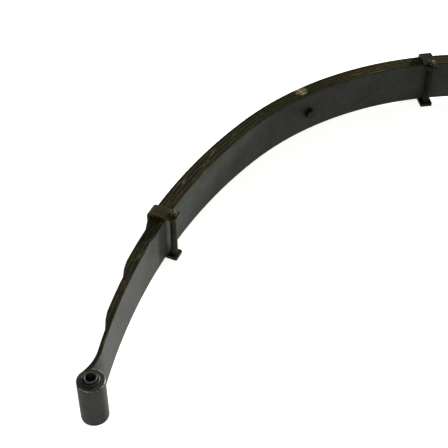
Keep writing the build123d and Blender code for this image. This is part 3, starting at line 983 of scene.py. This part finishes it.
# %% Turn the centre bolt
BOLT_CHAMFER, PAST_NUT, THREAD_STEP = 0.8 * MM, 3 * MM, 0.12 * MM
CENTRE_SHANK, CENTRE_HEAD, CENTRE_HEAD_HEIGHT, CENTRE_NUT = 5 * MM, 7.5 * MM, 8 * MM, 8 * MM
OUT_OF_LEAF = Matrix.Rotation(math.radians(-90), 4, "X")  # turns a piece from Z to a leaf frame's Y


def bolt_outline(head, radius, nut_top):
    """Outline of a bolt from the middle of its head to its chamfered end, dense where the thread shows."""
    end = nut_top + PAST_NUT
    rise = [(radius, height) for height in paces(nut_top - 0.4 * MM, end - BOLT_CHAMFER, THREAD_STEP)]
    return head + rise + [(radius, end - BOLT_CHAMFER), (radius - BOLT_CHAMFER, end), (0, end)]


def threaded(bolt, pitch, nut_top):
    """Cut the thread that stands past the nut, on a bolt that still stands on Z."""
    return run_tree(bolt, cut_thread, {
        "Pitch": pitch, "Depth": 0.6 * pitch, "Start": nut_top, "Run": 0.3 * MM, "Finish": fastener_paint})


nut_top = STACK + CENTRE_NUT
head = eased([(0, -CENTRE_HEAD_HEIGHT), (CENTRE_HEAD, -CENTRE_HEAD_HEIGHT), (CENTRE_HEAD, 0),
              (CENTRE_SHANK, 0)], 0.9 * MM, False)
centre = turned_piece("centre_bolt_turned", bolt_outline(head, CENTRE_SHANK, nut_top))
centre = threaded(centre, pitch=1.5 * MM, nut_top=nut_top)
set_down(centre, leaf_frame(0) @ OUT_OF_LEAF, fastener_paint)
finish_piece(centre, "fastener_paint", "spring", "centre_bolt")
print("centre bolt faces:", len(centre.data.polygons))

# %% Turn the clip bolts, tubes and rivets
STRAP_THICKNESS, CLIP_AT = 4.5 * MM, {"left": -324 * MM, "right": 200 * MM}
EAR_IN = HALF + 0.4 * MM
EAR_OUT = EAR_IN + STRAP_THICKNESS
CLIP_SHANK, CLIP_HEAD, CLIP_HEAD_DEPTH, CLIP_NUT = 3 * MM, 5.5 * MM, 2.5 * MM, 5 * MM
TUBE_BORE, TUBE_OUT, TUBE_SEAM = 3.08 * MM, 4.5 * MM, math.radians(5)
RIVET_SHANK, RIVET_HEAD, RIVET_DOME, RIVET_TOP = 3 * MM, 5.5 * MM, 3 * MM, STACK + STRAP_THICKNESS
HEAD_EASE = 0.15 * MM


def rivet_outline():
    """Outline of a rivet from its end in the shortest leaf to the top of its domed head."""
    end = STACK - THICKNESS
    angles = (math.radians(9 * step) for step in range(1, 10))
    dome = [(RIVET_HEAD * math.cos(a), RIVET_TOP + RIVET_DOME * math.sin(a)) for a in angles]
    shank = [(0, end), (RIVET_SHANK, end), (RIVET_SHANK, RIVET_TOP), (RIVET_HEAD - HEAD_EASE, RIVET_TOP)]
    return shank + dome + [(0, RIVET_TOP + RIVET_DOME)]


nut_top = EAR_OUT + CLIP_NUT
countersunk = [(0, -EAR_OUT), (CLIP_HEAD - HEAD_EASE, -EAR_OUT), (CLIP_HEAD, -EAR_OUT + 0.1 * MM),
               (CLIP_SHANK, -EAR_OUT + CLIP_HEAD_DEPTH)]
tube_outline = eased(ring_outline(TUBE_BORE, TUBE_OUT, EAR_IN - 0.15 * MM), 0.3 * MM, True)
for side in ("left", "right"):
    bolt_axis = axis_of(f"{side}_clip_bolt")
    bolt = turned_piece(f"{side}_clip_bolt_turned", bolt_outline(countersunk, CLIP_SHANK, nut_top))
    set_down(threaded(bolt, pitch=1.0 * MM, nut_top=nut_top), bolt_axis, fastener_paint)
    finish_piece(bolt, "fastener_paint", "spring", f"{side}_clip_bolt")
    tube = turned_piece(f"{side}_tube_rolled", tube_outline, seam=TUBE_SEAM)
    set_down(tube, bolt_axis, TUBE_PAINTS[side])
    finish_piece(tube, "clip_paint", f"{side}_tube", f"{side}_clip_tube")
    rivet = turned_piece(f"{side}_rivet_headed", rivet_outline(), facets=48)
    set_down(rivet, leaf_frame(CLIP_AT[side]) @ OUT_OF_LEAF, fastener_paint)
    finish_piece(rivet, "fastener_paint", "spring", f"{side}_clip_rivet")
    print(side, "clip set at mm:", [round(v / MM, 1) for v in bolt_axis.translation])

# %% [markdown]
# ## Compare sizes and finish
# The finished spring has to fill the same box as the measured one, so how far each corner of the box grows is
# printed.

# %% Print how far the box grows
finished_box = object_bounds()
for end, finished, measured in zip(("low", "high"), finished_box, cad_box):
    print(end, "corner grows by mm:", [round((new - old) / MM, 2) for new, old in zip(finished, measured)])
